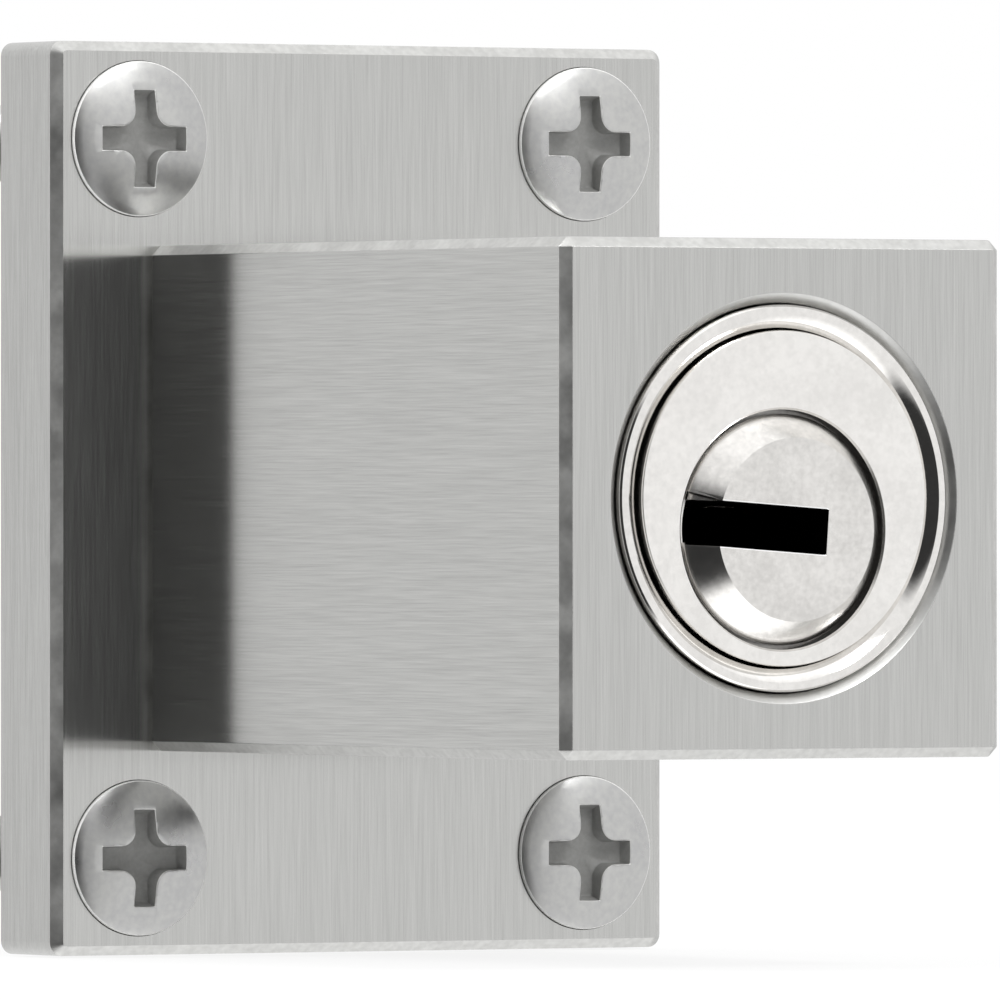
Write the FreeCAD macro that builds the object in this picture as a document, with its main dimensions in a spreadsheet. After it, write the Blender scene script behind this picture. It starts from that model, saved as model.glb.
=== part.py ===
import FreeCAD, Part
import os
import re
import Sketcher

# Espagnolette lock: a square block on a base plate, with a push cylinder that drives a locking
# pin through the espagnolette's rod. X is to the right, Z up and the front looks along -Y.
# The origin is the middle of the plate's back face, which lies on the door.
# Heights above the door are called "out": a point at out = 10 lies at y = -10.

dims = {
    "plate_width": 37.0,
    "plate_height": 47.0,
    "plate_thickness": 5.5,
    "plate_corner": 0.7,
    "plate_bevel": 0.5,
    "block_side": 26.0,
    "block_depth": 40.5,
    "block_bevel": 0.5,
    "mount_pitch_x": 27.0,
    "mount_pitch_z": 37.0,
    "mount_head": 4.0,
    "mount_dome": 0.9,
    "mount_neck": 1.6,
    "mount_thread": 2.0,
    "mount_core": 1.35,
    "mount_thread_rise": 1.8,
    "mount_shank": 4.0,
    "mount_length": 25.0,
    "mount_point": 3.5,
    "recess_span": 5.1,
    "recess_width": 1.2,
    "recess_depth": 1.9,
    "hole_play": 0.25,
    "head_play": 0.04,
    "joint_pitch_x": 20.0,
    "joint_pitch_z": 17.0,
    "joint_thread": 1.5,
    "joint_head": 3.0,
    "joint_length": 13.0,
    "joint_sink": 0.1,
    "socket_flats": 2.0,
    "socket_depth": 1.2,
    "rod": 6.0,
    "rod_play": 0.1,
    "bush_wall": 1.0,
    "bush_play": 0.02,
    "bush_length": 8.9,
    "bush_sink": 0.1,
    "bush_lead": 0.5,
    "sleeve_wall": 1.18,
    "sleeve_room": 0.5,
    "sleeve_floor": 1.8,
    "sleeve_play": 0.06,
    "rim_round": 0.25,
    "rim_flat": 0.2,
    "rim_slope": 0.5,
    "bore_bevel": 0.5,
    "slide_play": 0.12,
    "disc_wall": 0.84,
    "disc_bevel": 0.15,
    "body_length": 17.6,
    "plug_offset": 1.56,
    "plug_barrel": 4.7,
    "plug_flange": 5.45,
    "plug_play": 0.05,
    "flange_end": 1.9,
    "mouth_flare": 0.5,
    "mouth_depth": 0.64,
    "nose_height": 1.25,
    "nose_flat": 4.7,
    "keyway_right": 1.86,
    "keyway_height": 2.25,
    "keyway_stop": 0.7,
    "pin_first": 3.4,
    "pin_last": 1.8,
    "pin_wall": 0.35,
    "pin_play": 0.05,
    "pin_ledge": 1.9,
    "pin_reach": 1.0,
    "shear_play": 0.04,
    "driver_length": 1.8,
    "cap_width": 3.3,
    "cap_sink": 0.25,
    "cap_height": 0.95,
    "cap_front": 2.0,
    "web": 0.7,
    "tail": 2.25,
    "tail_square": 2.4,
    "tail_neck": 1.0,
    "tail_head": 1.2,
    "cam_hub": 2.8,
    "cam_lobe": 3.85,
    "cam_lobe_half": 1.1,
    "cam_thickness": 1.05,
    "clip_outer": 2.1,
    "clip_thickness": 0.35,
    "clip_mouth": 1.6,
    "catch_thickness": 1.65,
    "catch_travel": 1.2,
    "catch_draw": 0.45,
    "catch_nose": 2.4,
    "catch_arm": 1.2,
    "catch_bar": 0.85,
    "catch_heel": 2.9,
    "catch_play": 0.1,
    "catch_spring_drop": 1.9,
    "catch_spring_wall": 1.0,
    "catch_spring_coil": 0.55,
    "catch_spring_wire": 0.09,
    "carrier": 1.6,
    "carrier_pitch_x": 10.4,
    "carrier_drop": 4.8,
    "carrier_thread": 0.8,
    "carrier_head": 1.4,
    "carrier_grip": 2.4,
    "bolt": 2.5,
    "bolt_play": 0.1,
    "bolt_spigot": 1.8,
    "bolt_clear": 0.2,
    "bolt_lead": 0.6,
    "stroke": 8.0,
    "return_pitch_x": 8.6,
    "return_rise": 5.3,
    "return_hole": 1.15,
    "return_depth": 13.6,
    "return_coil": 0.85,
    "return_wire": 0.14,
    "return_turns": 18.0,
    "pin_spring_wire": 0.12,
    "small_turns": 4.5,
    "spring_seat_gap": 0.03,
    "guide_thread": 2.0,
    "guide_dog": 1.1,
    "guide_play": 0.06,
    "groove_depth": 1.1,
    "groove_wall": 1.0,
    "guide_tip_gap": 0.2,
    "guide_sink": 0.2,
    "lock_turn": 4.0,
}

# How far the five key pins drop when the key is out, front pin first
key_cuts = {"cut_1": 0.6, "cut_2": 1.2, "cut_3": 0.9, "cut_4": 1.5, "cut_5": 0.8}
dims.update(key_cuts)

# Places that follow from the sizes above
links = {
    "front": "plate_thickness + block_depth",
    "mount_hole": "mount_thread + hole_play",
    "mount_sink": "mount_head + head_play",
    # behind the plate: where the mounting screws' thread starts, and where their point does
    "mount_thread_start": "mount_shank + mount_thread - mount_core",
    "mount_taper": "mount_length - plate_thickness - mount_point",
    "joint_hole": "joint_thread + hole_play",
    "bush_bore": "rod + rod_play",
    "bush_outer": "bush_bore + bush_wall",
    "bush_seat": "bush_outer + bush_play",
    "bush_end": "block_side / 2 - bush_sink",
    "bush_start": "bush_end - bush_length",
    "flange_bore": "plug_flange + plug_play",
    "barrel_bore": "plug_barrel + plug_play",
    "disc": "plug_offset + flange_bore + mouth_flare + disc_wall",
    "sleeve_bore": "disc + slide_play",
    "sleeve_outer": "sleeve_bore + sleeve_wall",
    "body_back": "front - body_length",
    "carrier_back": "body_back - carrier",
    "floor_face": "carrier_back - sleeve_room",
    "sleeve_back": "floor_face - sleeve_floor",
    # the rod runs midway between the plate and the sleeve's back
    "rod_standoff": "(plate_thickness + sleeve_back) / 2",
    "flange_back": "front - flange_end",
    "cavity_depth": "catch_thickness + 2 * catch_play",
    "web_back": "body_back + cavity_depth",
    "web_front": "web_back + web",
    "barrel_back": "web_front + plug_play",
    "keyway_depth": "front - barrel_back - keyway_stop",
    "cam_back": "web_back - catch_play / 2 - cam_thickness",
    "clip_back": "cam_back - clip_thickness",
    "tail_back": "clip_back - clip_thickness / 2",
    # the pins share out the barrel, with a wall between their chambers
    "pin_pitch": f"(front - barrel_back - pin_first - pin_last) / {len(key_cuts) - 1}",
    "chamber": "(pin_pitch - pin_wall) / 2",
    "pin_radius": "chamber - pin_play",
    "pin_tip": "pin_radius * 3 / 4",
    "shear": "plug_barrel - plug_offset",
    "key_pin_top": "sqrt(plug_barrel ^ 2 - pin_radius ^ 2) - plug_offset",
    "ledge": "pin_ledge - plug_offset",
    "driver_base": "shear + shear_play",
    "driver_top": "driver_base + driver_length",
    "cap_floor": "disc - cap_sink - cap_height",
    "pin_spring_coil": "pin_radius - pin_play - pin_spring_wire",
    "catch_tip": "disc - catch_draw",
    "catch_spring_seat": "disc - catch_spring_wall",
    "heel_face": "cam_hub + catch_play / 2 + catch_travel",
    "heel_back": "heel_face + catch_arm",
    "bar_base": "cam_reach - plug_offset + catch_play",
    "cam_reach": "sqrt(cam_lobe ^ 2 + cam_lobe_half ^ 2)",
    "bar_top": "bar_base + catch_bar",
    "arm_face": "cam_hub + catch_play * 4",
    "arm_back": "arm_face + catch_arm",
    "catch_front": "web_back - catch_play / 2",
    "catch_back": "catch_front - catch_thickness",
    "bolt_tip": "rod_standoff + bush_bore + bolt_clear - stroke",
    "bolt_hole": "bolt + bolt_play",
    "guide_out": "body_back + groove_wall + guide_dog + guide_play + stroke",
    "groove_floor": "disc - groove_depth",
    "dog_tip": "groove_floor + guide_tip_gap",
    "dog_base": "sleeve_bore + sleeve_wall / 3",
}

doc = FreeCAD.newDocument("EspagnoletteLock")
sheet = doc.addObject("Spreadsheet::Sheet", "Dims")
for row, (alias, size) in enumerate(dims.items(), 1):
    sheet.set(f"A{row}", alias)
    sheet.set(f"B{row}", str(size))
    sheet.setAlias(f"B{row}", alias)
doc.recompute()

word = re.compile(r"[a-z][a-z_0-9]*")


def spelled(text):
    """Write a formula of size and link names as an expression on the sheet's cells."""
    def cell(match):
        name = match.group(0)
        if name in links:
            return "(" + spelled(links[name]) + ")"
        return "Dims." + name if name in dims else name
    return word.sub(cell, text)


def number(text):
    """The formula's present value in millimetres."""
    found = sheet.evalExpression(spelled(text))
    return float(getattr(found, "Value", found))


def bind(thing, **formulas):
    """Tie an object's properties to formulas; a double underscore stands for a dot."""
    for name, text in formulas.items():
        thing.setExpression(name.replace("__", "."), spelled(text))


def part_body(name, turned=False):
    """A new body. The cylinder and all it carries are turned in the sleeve by lock_turn."""
    body = doc.addObject("PartDesign::Body", name)
    body.Label = name
    if turned:
        turn(body)
    return body


def turn(thing):
    thing.Placement = FreeCAD.Placement(
        FreeCAD.Vector(), FreeCAD.Rotation(FreeCAD.Vector(0, 1, 0), number("lock_turn")))
    bind(thing, Placement__Rotation__Angle="lock_turn")


def sketch(body, name, role, x="0", y="0", z="0", turned=None):
    """A sketch on one of the body's own planes, moved by x, y and z in the sketch's own axes."""
    made = body.newObject("Sketcher::SketchObject", name)
    plane = next(f for f in body.Origin.OriginFeatures if f.Role == role)
    made.AttachmentSupport = [(plane, "")]
    made.MapMode = "FlatFace"
    bind(made, AttachmentOffset__Base__x=x, AttachmentOffset__Base__y=y,
         AttachmentOffset__Base__z=z)
    if turned:
        bind(made, AttachmentOffset__Rotation__Angle=turned)
    return made


def face_sketch(body, name, out, x="0", z="0", turned=None):
    """A sketch parallel to the door, at a height out from it. Its axes are X and Z."""
    return sketch(body, name, "XZ_Plane", x, z, out, turned)


def hold(made, kind, geo, point, text):
    """A horizontal or vertical distance from the sketch's origin to a point of its geometry."""
    at = made.addConstraint(Sketcher.Constraint(kind, -1, 1, geo, point, number(text)))
    made.setExpression(f"Constraints[{at}]", spelled(text))


def outline(made, points, domes=()):
    """A closed outline through points given as pairs of formulas.

    A side whose number is in domes is an arc about the sketch's vertical axis. It starts on it.
    """
    spots = [FreeCAD.Vector(number(x), number(y), 0) for x, y in points]
    count, first = len(spots), made.GeometryCount
    for i, here in enumerate(spots):
        there = spots[(i + 1) % count]
        if i in domes:
            rise = there.y - here.y
            radius = (rise ** 2 + there.x ** 2) / (2 * rise)
            centre = FreeCAD.Vector(0, here.y + radius, 0)
            circle = Part.Circle(centre, FreeCAD.Vector(0, 0, 1), radius)
            side = Part.ArcOfCircle(circle, circle.parameter(here), circle.parameter(there))
        else:
            side = Part.LineSegment(here, there)
        made.addGeometry(side, False)
    for i, (x, y) in enumerate(points):
        made.addConstraint(Sketcher.Constraint(
            "Coincident", first + i, 2, first + (i + 1) % count, 1))
        hold(made, "DistanceX", first + i, 1, x)
        hold(made, "DistanceY", first + i, 1, y)
        if i in domes:
            made.addConstraint(Sketcher.Constraint("PointOnObject", first + i, 3, -2))


def box(made, left, right, low, high):
    outline(made, [(left, low), (right, low), (right, high), (left, high)])


def ring(made, x, y, radius):
    centre = FreeCAD.Vector(number(x), number(y), 0)
    geo = made.addGeometry(
        Part.Circle(centre, FreeCAD.Vector(0, 0, 1), number(radius)), False)
    hold(made, "DistanceX", geo, 3, x)
    hold(made, "DistanceY", geo, 3, y)
    at = made.addConstraint(Sketcher.Constraint("Radius", geo, number(radius)))
    made.setExpression(f"Constraints[{at}]", spelled(radius))


def hexagon(made, flats):
    half, corner = f"{flats} / 2", f"{flats} / sqrt(3)"
    outline(made, [(corner, "0"), (f"{corner} / 2", half), (f"-{corner} / 2", half),
                   (f"-{corner}", "0"), (f"-{corner} / 2", f"-{half}"),
                   (f"{corner} / 2", f"-{half}")])


def feature(body, kind, name, made, **formulas):
    built = body.newObject("PartDesign::" + kind, name)
    built.Profile = made
    bind(built, **formulas)
    return built


def pad(body, name, made, length):
    """Raise the sketch along its normal: outwards from the door, or upwards."""
    built = feature(body, "Pad", name, made, Length=length)
    doc.recompute()
    return built


def cut(body, name, made, length, reverse=False, both=False):
    """Cut against the sketch's normal, or along it when reversed, and see that it removed something."""
    before = body.Shape.Volume
    built = feature(body, "Pocket", name, made, Length=length)
    built.Reversed = reverse
    built.Midplane = both
    doc.recompute()
    if not body.Shape.Volume < before:
        raise RuntimeError(f"{name} cuts nothing from {body.Label}")
    return built


def revolve(body, name, made, removing=False):
    """Turn a profile about the sketch's vertical axis, to add it or to cut it away."""
    before = body.Shape.Volume if removing else 0
    built = feature(body, "Groove" if removing else "Revolution", name, made)
    built.ReferenceAxis = (made, ["V_Axis"])
    built.Angle = 360
    doc.recompute()
    if removing and not body.Shape.Volume < before:
        raise RuntimeError(f"{name} cuts nothing from {body.Label}")
    return built


def edge_names(body, wanted):
    return [f"Edge{i}" for i, edge in enumerate(body.Tip.Shape.Edges, 1) if wanted(edge)]


def bevel(body, name, wanted, size, rounded=False):
    names = edge_names(body, wanted)
    base = body.Tip
    built = body.newObject("PartDesign::" + ("Fillet" if rounded else "Chamfer"), name)
    built.Base = (base, names)
    bind(built, **{"Radius" if rounded else "Size": size})
    doc.recompute()


def lies_at(edge, out):
    box_of = edge.BoundBox
    return abs(box_of.YMin + out) < 1e-4 and abs(box_of.YMax + out) < 1e-4


def runs_out(edge):
    return edge.BoundBox.YLength > 1e-4


def turned_profile(body, name, points, x="0", z="0", domes=(), removing=False):
    """Turn (radius, out) points about a line square to the door at x and z."""
    made = sketch(body, name + "_profile", "XY_Plane", x=x, z=z)
    outline(made, [(radius, f"-({out})") for radius, out in points], domes)
    return revolve(body, name, made, removing)


def upright_profile(body, name, points, out):
    """Turn (radius, height) points about a vertical line at a height out from the door."""
    made = face_sketch(body, name + "_profile", out)
    outline(made, points)
    return revolve(body, name, made)


def mirrored_group(name, single, planes, turned=False):
    """The single piece with its mirror images, as separate solids in one part."""
    group = single
    for plane, normal in planes:
        image = doc.addObject("Part::Mirroring", f"{name}_image_{plane}")
        image.Source = group
        image.Normal = normal
        both = doc.addObject("Part::Compound", f"{name}_{plane}")
        both.Links = [group, image]
        group = both
    group.Label = name
    if turned:
        turn(group)
    return group


def four_corners(pitch_x, pitch_z):
    return [(f"{i} * {pitch_x} / 2", f"{j} * {pitch_z} / 2") for i in (-1, 1) for j in (-1, 1)]


def base_plate():
    body = part_body("base_plate")
    made = face_sketch(body, "plate_outline", "0")
    box(made, "-plate_width / 2", "plate_width / 2", "-plate_height / 2", "plate_height / 2")
    pad(body, "plate_pad", made, "plate_thickness")
    bevel(body, "plate_corners", runs_out, "plate_corner", rounded=True)
    bevel(body, "plate_front_bevel", lambda e: lies_at(e, number("plate_thickness")),
          "plate_bevel")
    for i, (x, z) in enumerate(four_corners("mount_pitch_x", "mount_pitch_z")):
        turned_profile(body, f"mount_hole_{i}", [
            ("0", "0 - 1"), ("mount_hole", "0 - 1"),
            ("mount_hole", "plate_thickness - mount_sink + mount_hole"),
            ("mount_sink", "plate_thickness"), ("mount_sink", "plate_thickness + 1"),
            ("0", "plate_thickness + 1")], x, z, removing=True)
    for i, (x, z) in enumerate(four_corners("joint_pitch_x", "joint_pitch_z")):
        turned_profile(body, f"joint_hole_{i}", [
            ("0", "0 - 1"), ("joint_head + head_play", "0 - 1"),
            ("joint_head + head_play", "joint_sink"),
            ("joint_hole", "joint_sink + joint_head + head_play - joint_hole"),
            ("joint_hole", "plate_thickness + 1"), ("0", "plate_thickness + 1")],
            x, z, removing=True)
    return body


def lock_block():
    body = part_body("lock_block")
    made = face_sketch(body, "block_outline", "plate_thickness")
    box(made, "-block_side / 2", "block_side / 2", "-block_side / 2", "block_side / 2")
    pad(body, "block_pad", made, "block_depth")
    bevel(body, "block_bevels", lambda e: True, "block_bevel")

    made = face_sketch(body, "sleeve_bore_circle", "front")
    ring(made, "0", "0", "sleeve_outer + sleeve_play")
    cut(body, "sleeve_bore_cut", made, "front - sleeve_back")
    rim = number("sleeve_outer + sleeve_play")
    bevel(body, "sleeve_bore_bevel",
          lambda e: lies_at(e, number("front")) and abs(e.BoundBox.XLength - 2 * rim) < 1e-3,
          "bore_bevel")

    made = sketch(body, "rod_circle", "XY_Plane", y="-rod_standoff")
    ring(made, "0", "0", "bush_bore + bush_wall / 3")
    cut(body, "rod_passage", made, "block_side * 2", both=True)
    for name, side, reverse in (("top", "block_side / 2", False),
                                ("bottom", "-block_side / 2", True)):
        made = sketch(body, f"bush_seat_{name}_circle", "XY_Plane", y="-rod_standoff", z=side)
        ring(made, "0", "0", "bush_seat")
        cut(body, f"bush_seat_{name}", made, "bush_length + bush_sink", reverse)

    made = face_sketch(body, "bolt_hole_circle", "sleeve_back")
    ring(made, "0", "0", "bolt_hole")
    cut(body, "bolt_hole_cut", made, "sleeve_back - rod_standoff")

    made = face_sketch(body, "joint_thread_circles", "plate_thickness")
    for x, z in four_corners("joint_pitch_x", "joint_pitch_z"):
        ring(made, x, z, "joint_thread")
    cut(body, "joint_threads", made, "joint_length + 1 - plate_thickness", reverse=True)

    made = sketch(body, "guide_hole_circle", "XY_Plane", y="-guide_out", z="-block_side / 2")
    ring(made, "0", "0", "guide_thread")
    cut(body, "guide_hole", made, "block_side / 2 - disc", reverse=True)
    return body


def mounting_screw(i, x, z):
    body = part_body(f"mounting_screw_{i}")
    turned_profile(body, f"mounting_screw_{i}_turning", [
        ("0", "plate_thickness + mount_dome"), ("mount_head", "plate_thickness"),
        ("mount_neck", "plate_thickness - mount_head + mount_neck"), ("mount_neck", "0"),
        ("mount_thread", "0"), ("mount_thread", "-mount_shank"),
        ("mount_core", "-mount_thread_start"), ("mount_core", "-mount_taper"),
        ("0", "-mount_taper - mount_point")], x, z, domes=(0,))
    made = face_sketch(body, f"cross_outline_{i}", "plate_thickness + mount_dome", x, z)
    span, width = "recess_span / 2", "recess_width / 2"
    outline(made, [(width, span), (width, width), (span, width), (span, f"-{width}"),
                   (width, f"-{width}"), (width, f"-{span}"), (f"-{width}", f"-{span}"),
                   (f"-{width}", f"-{width}"), (f"-{span}", f"-{width}"),
                   (f"-{span}", width), (f"-{width}", width), (f"-{width}", span)])
    cut(body, f"cross_recess_{i}", made, "recess_depth")
    # one ridge of thread is wound round the core, from the plain shank to the point
    made = sketch(body, f"thread_ridge_{i}", "XY_Plane", x=x, z=z)
    foot, start, rise = "mount_core * 0.95", "mount_thread_start", "mount_thread_rise / 4"
    outline(made, [(foot, start), ("mount_thread", f"{start} + {rise}"),
                   (foot, f"{start} + 2 * {rise}")])
    length = f"mount_taper - {start} - 2 * {rise}"
    coil(body, f"mounting_thread_{i}", made, "V_Axis", length,
         f"({length}) / mount_thread_rise")
    return body


def mounting_screws():
    group = doc.addObject("Part::Compound", "mounting_screws")
    group.Links = [mounting_screw(i, x, z) for i, (x, z) in enumerate(
        four_corners("mount_pitch_x", "mount_pitch_z"))]
    return group


def block_screws():
    single = part_body("block_screw")
    x, z = "joint_pitch_x / 2", "joint_pitch_z / 2"
    turned_profile(single, "block_screw_turning", [
        ("0", "joint_sink"), ("joint_head", "joint_sink"),
        ("joint_thread", "joint_sink + joint_head - joint_thread"),
        ("joint_thread", "joint_length - joint_thread / 3"),
        ("joint_thread * 2 / 3", "joint_length"), ("0", "joint_length")], x, z)
    made = face_sketch(single, "block_screw_socket", "joint_sink", x, z)
    hexagon(made, "socket_flats")
    cut(single, "block_screw_recess", made, "socket_depth", reverse=True)
    return mirrored_group("block_screws", single, (
        ("side", FreeCAD.Vector(1, 0, 0)), ("end", FreeCAD.Vector(0, 0, 1))))


def rod_bush(name, side):
    """A plastic bush that guides the rod, pressed in from the top (side 1) or bottom (-1)."""
    body = part_body(name)
    upright_profile(body, name + "_turning", [
        ("bush_bore", f"{side} * bush_start"), ("bush_outer", f"{side} * bush_start"),
        ("bush_outer", f"{side} * bush_end"), ("bush_bore + bush_lead", f"{side} * bush_end"),
        ("bush_bore", f"{side} * (bush_end - bush_lead)")], "rod_standoff")
    return body


def guide_screw():
    """A set screw from below. Its dog point runs in the cylinder's groove and holds the sleeve."""
    body = part_body("guide_screw")
    low = "guide_sink - block_side / 2"
    upright_profile(body, "guide_screw_turning", [
        ("0", low), ("guide_thread", low), ("guide_thread", "-dog_base"),
        ("guide_dog", "-dog_base"), ("guide_dog", "-dog_tip"), ("0", "-dog_tip")], "guide_out")
    made = sketch(body, "guide_socket", "XY_Plane", y="-guide_out", z=low)
    hexagon(made, "socket_flats")
    cut(body, "guide_socket_cut", made, "socket_depth", reverse=True)
    return body


def lock_sleeve():
    body = part_body("lock_sleeve")
    turned_profile(body, "sleeve_turning", [
        ("bolt_hole", "sleeve_back"), ("sleeve_outer", "sleeve_back"),
        ("sleeve_outer", "front - rim_round"), ("sleeve_outer - rim_round", "front"),
        ("sleeve_outer - rim_round - rim_flat", "front"), ("sleeve_bore", "front - rim_slope"),
        ("sleeve_bore", "floor_face"), ("bolt_hole", "floor_face")])
    made = face_sketch(body, "catch_window", "catch_front + catch_play", turned="-lock_turn")
    box(made, "-sleeve_outer - 1", "-disc", "-catch_nose / 2 - catch_play",
        "catch_nose / 2 + catch_play")
    cut(body, "catch_window_cut", made, "catch_thickness + 2 * catch_play")
    made = sketch(body, "guide_through", "XY_Plane", y="-guide_out", z="-sleeve_outer - 1")
    ring(made, "0", "0", "guide_thread + guide_play")
    cut(body, "guide_through_cut", made, "sleeve_outer + 1 - groove_floor", reverse=True)
    return body


def pin_out(i):
    return f"(front - pin_first - {i} * pin_pitch)"


def cylinder_body():
    body = part_body("cylinder_body", turned=True)
    made = face_sketch(body, "cylinder_circle", "body_back")
    ring(made, "0", "0", "disc")
    pad(body, "cylinder_pad", made, "body_length")
    bevel(body, "disc_edge", lambda e: lies_at(e, number("front")), "disc_bevel")
    turned_profile(body, "plug_bore", [
        ("0", "front"), ("flange_bore + mouth_flare", "front"),
        ("flange_bore", "front - mouth_depth"), ("flange_bore", "flange_back - plug_play"),
        ("barrel_bore", "flange_back - plug_play"), ("barrel_bore", "web_front"),
        ("tail + plug_play", "web_front"), ("tail + plug_play", "body_back"),
        ("0", "body_back")], z="-plug_offset", removing=True)

    made = sketch(body, "chamber_circles", "XY_Plane", z="cap_floor")
    for i in range(len(key_cuts)):
        ring(made, "0", f"-{pin_out(i)}", "chamber")
    cut(body, "chambers", made, "cap_floor")
    made = sketch(body, "cap_slot_outline", "XY_Plane", z="cap_floor")
    box(made, "-cap_width / 2 - pin_play", "cap_width / 2 + pin_play",
        "cap_front - front - pin_play", "pin_play - barrel_back")
    cut(body, "cap_slot", made, "disc", reverse=True)

    made = face_sketch(body, "cam_room_circle", "body_back")
    ring(made, "0", "-plug_offset", "cam_reach + catch_play")
    cut(body, "cam_room", made, "cavity_depth", reverse=True)
    made = face_sketch(body, "catch_room_outline", "body_back")
    low, high = "-catch_heel - catch_play", "bar_top + catch_play"
    nose = "catch_nose / 2 + catch_play"
    left, right = "-arm_back - catch_travel - catch_play", "heel_back + catch_play"
    outline(made, [(left, f"-({nose})"), (left, low), (right, low), (right, high),
                   (left, high), (left, nose), ("-disc - 1", nose), ("-disc - 1", f"-({nose})")])
    cut(body, "catch_room", made, "cavity_depth", reverse=True)
    made = face_sketch(body, "catch_spring_room_outline", "body_back")
    half = "catch_spring_coil + catch_spring_wire + catch_play"
    box(made, "0", "catch_spring_seat", f"-catch_spring_drop - ({half})",
        f"-catch_spring_drop + {half}")
    cut(body, "catch_spring_room", made, "cavity_depth", reverse=True)

    made = face_sketch(body, "return_hole_circles", "body_back")
    for side in (-1, 1):
        ring(made, f"{side} * return_pitch_x / 2", "return_rise", "return_hole")
    cut(body, "return_holes", made, "return_depth", reverse=True)
    made = face_sketch(body, "carrier_hole_circles", "body_back")
    for side in (-1, 1):
        ring(made, f"{side} * carrier_pitch_x / 2", "-carrier_drop", "carrier_thread")
    cut(body, "carrier_holes", made, "carrier_grip", reverse=True)

    made = face_sketch(body, "guide_groove_outline", "guide_out + guide_dog + guide_play",
                       turned="lock_turn")
    box(made, "-guide_dog - guide_play", "guide_dog + guide_play", "-disc - 1", "-groove_floor")
    cut(body, "guide_groove", made, "stroke + 2 * (guide_dog + guide_play)")
    return body


def chamber_cap():
    """The strip that closes the pin chambers, staked into its slot."""
    body = part_body("chamber_cap", turned=True)
    made = sketch(body, "cap_outline", "XY_Plane", z="cap_floor")
    box(made, "-cap_width / 2", "cap_width / 2", "cap_front - front", "-barrel_back")
    pad(body, "cap_pad", made, "cap_height")
    return body


def lock_plug():
    body = part_body("lock_plug", turned=True)
    turned_profile(body, "plug_turning", [
        ("0", "front + nose_height"), ("nose_flat", "front + nose_height"),
        ("plug_flange", "front - mouth_depth"), ("plug_flange", "flange_back"),
        ("plug_barrel", "flange_back"), ("plug_barrel", "barrel_back"),
        ("tail", "barrel_back"), ("tail", "web_back"), ("0", "web_back")], z="-plug_offset")
    made = face_sketch(body, "tail_square_outline", "cam_back", z="-plug_offset")
    half = "tail_square / 2"
    box(made, f"-{half}", half, f"-{half}", half)
    pad(body, "tail_square_pad", made, "web_back - cam_back")
    turned_profile(body, "tail_end", [
        ("0", "cam_back"), ("tail_neck", "cam_back"), ("tail_neck", "clip_back"),
        ("tail_head", "clip_back"), ("tail_head", "tail_back"), ("0", "tail_back")],
        z="-plug_offset")
    made = face_sketch(body, "keyway_outline", "front + nose_height", z="-plug_offset")
    box(made, "-plug_flange - 1", "keyway_right", "-keyway_height / 2", "keyway_height / 2")
    cut(body, "keyway", made, "nose_height + keyway_depth")
    made = sketch(body, "plug_chamber_circles", "XY_Plane", z="ledge")
    for i in range(len(key_cuts)):
        ring(made, "0", f"-{pin_out(i)}", "chamber")
    cut(body, "plug_chambers", made, "plug_barrel", reverse=True)
    made = sketch(body, "plug_tip_circles", "XY_Plane", z="ledge")
    for i in range(len(key_cuts)):
        ring(made, "0", f"-{pin_out(i)}", "pin_tip + pin_play")
    cut(body, "plug_tip_holes", made, "pin_ledge")
    return body


def release_cam():
    body = part_body("release_cam", turned=True)
    made = face_sketch(body, "cam_hub_circle", "cam_back", z="-plug_offset")
    ring(made, "0", "0", "cam_hub")
    pad(body, "cam_hub_pad", made, "cam_thickness")
    made = face_sketch(body, "cam_lobe_outline", "cam_back", z="-plug_offset")
    box(made, "-cam_lobe_half", "cam_lobe_half", "0", "cam_lobe")
    pad(body, "cam_lobe_pad", made, "cam_thickness")
    made = face_sketch(body, "cam_square_outline", "cam_back", z="-plug_offset")
    half = "(tail_square / 2 + pin_play / 2)"
    box(made, f"-{half}", half, f"-{half}", half)
    cut(body, "cam_square", made, "cam_thickness", reverse=True)
    return body


def retaining_clip():
    body = part_body("retaining_clip", turned=True)
    made = face_sketch(body, "clip_circles", "clip_back + pin_play / 2", z="-plug_offset")
    ring(made, "0", "0", "clip_outer")
    ring(made, "0", "0", "tail_neck + pin_play / 2")
    pad(body, "clip_pad", made, "clip_thickness - pin_play")
    made = face_sketch(body, "clip_mouth_outline", "clip_back", z="-plug_offset")
    box(made, "-clip_mouth / 2", "clip_mouth / 2", "-clip_outer - 1", "0")
    cut(body, "clip_mouth_cut", made, "clip_thickness * 2", reverse=True)
    return body


def catch():
    """The slider round the cam: its nose, on the left, holds the cylinder in the sleeve's window."""
    body = part_body("catch", turned=True)
    made = face_sketch(body, "catch_outline", "catch_back")
    nose = "catch_nose / 2"
    outline(made, [
        ("-catch_tip", f"-{nose}"), ("-arm_face", f"-{nose}"), ("-arm_face", "bar_base"),
        ("heel_face", "bar_base"), ("heel_face", "-catch_heel"), ("heel_back", "-catch_heel"),
        ("heel_back", "bar_top"), ("-arm_back", "bar_top"), ("-arm_back", nose),
        ("-catch_tip", nose)])
    pad(body, "catch_pad", made, "catch_thickness")
    return body


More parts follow.
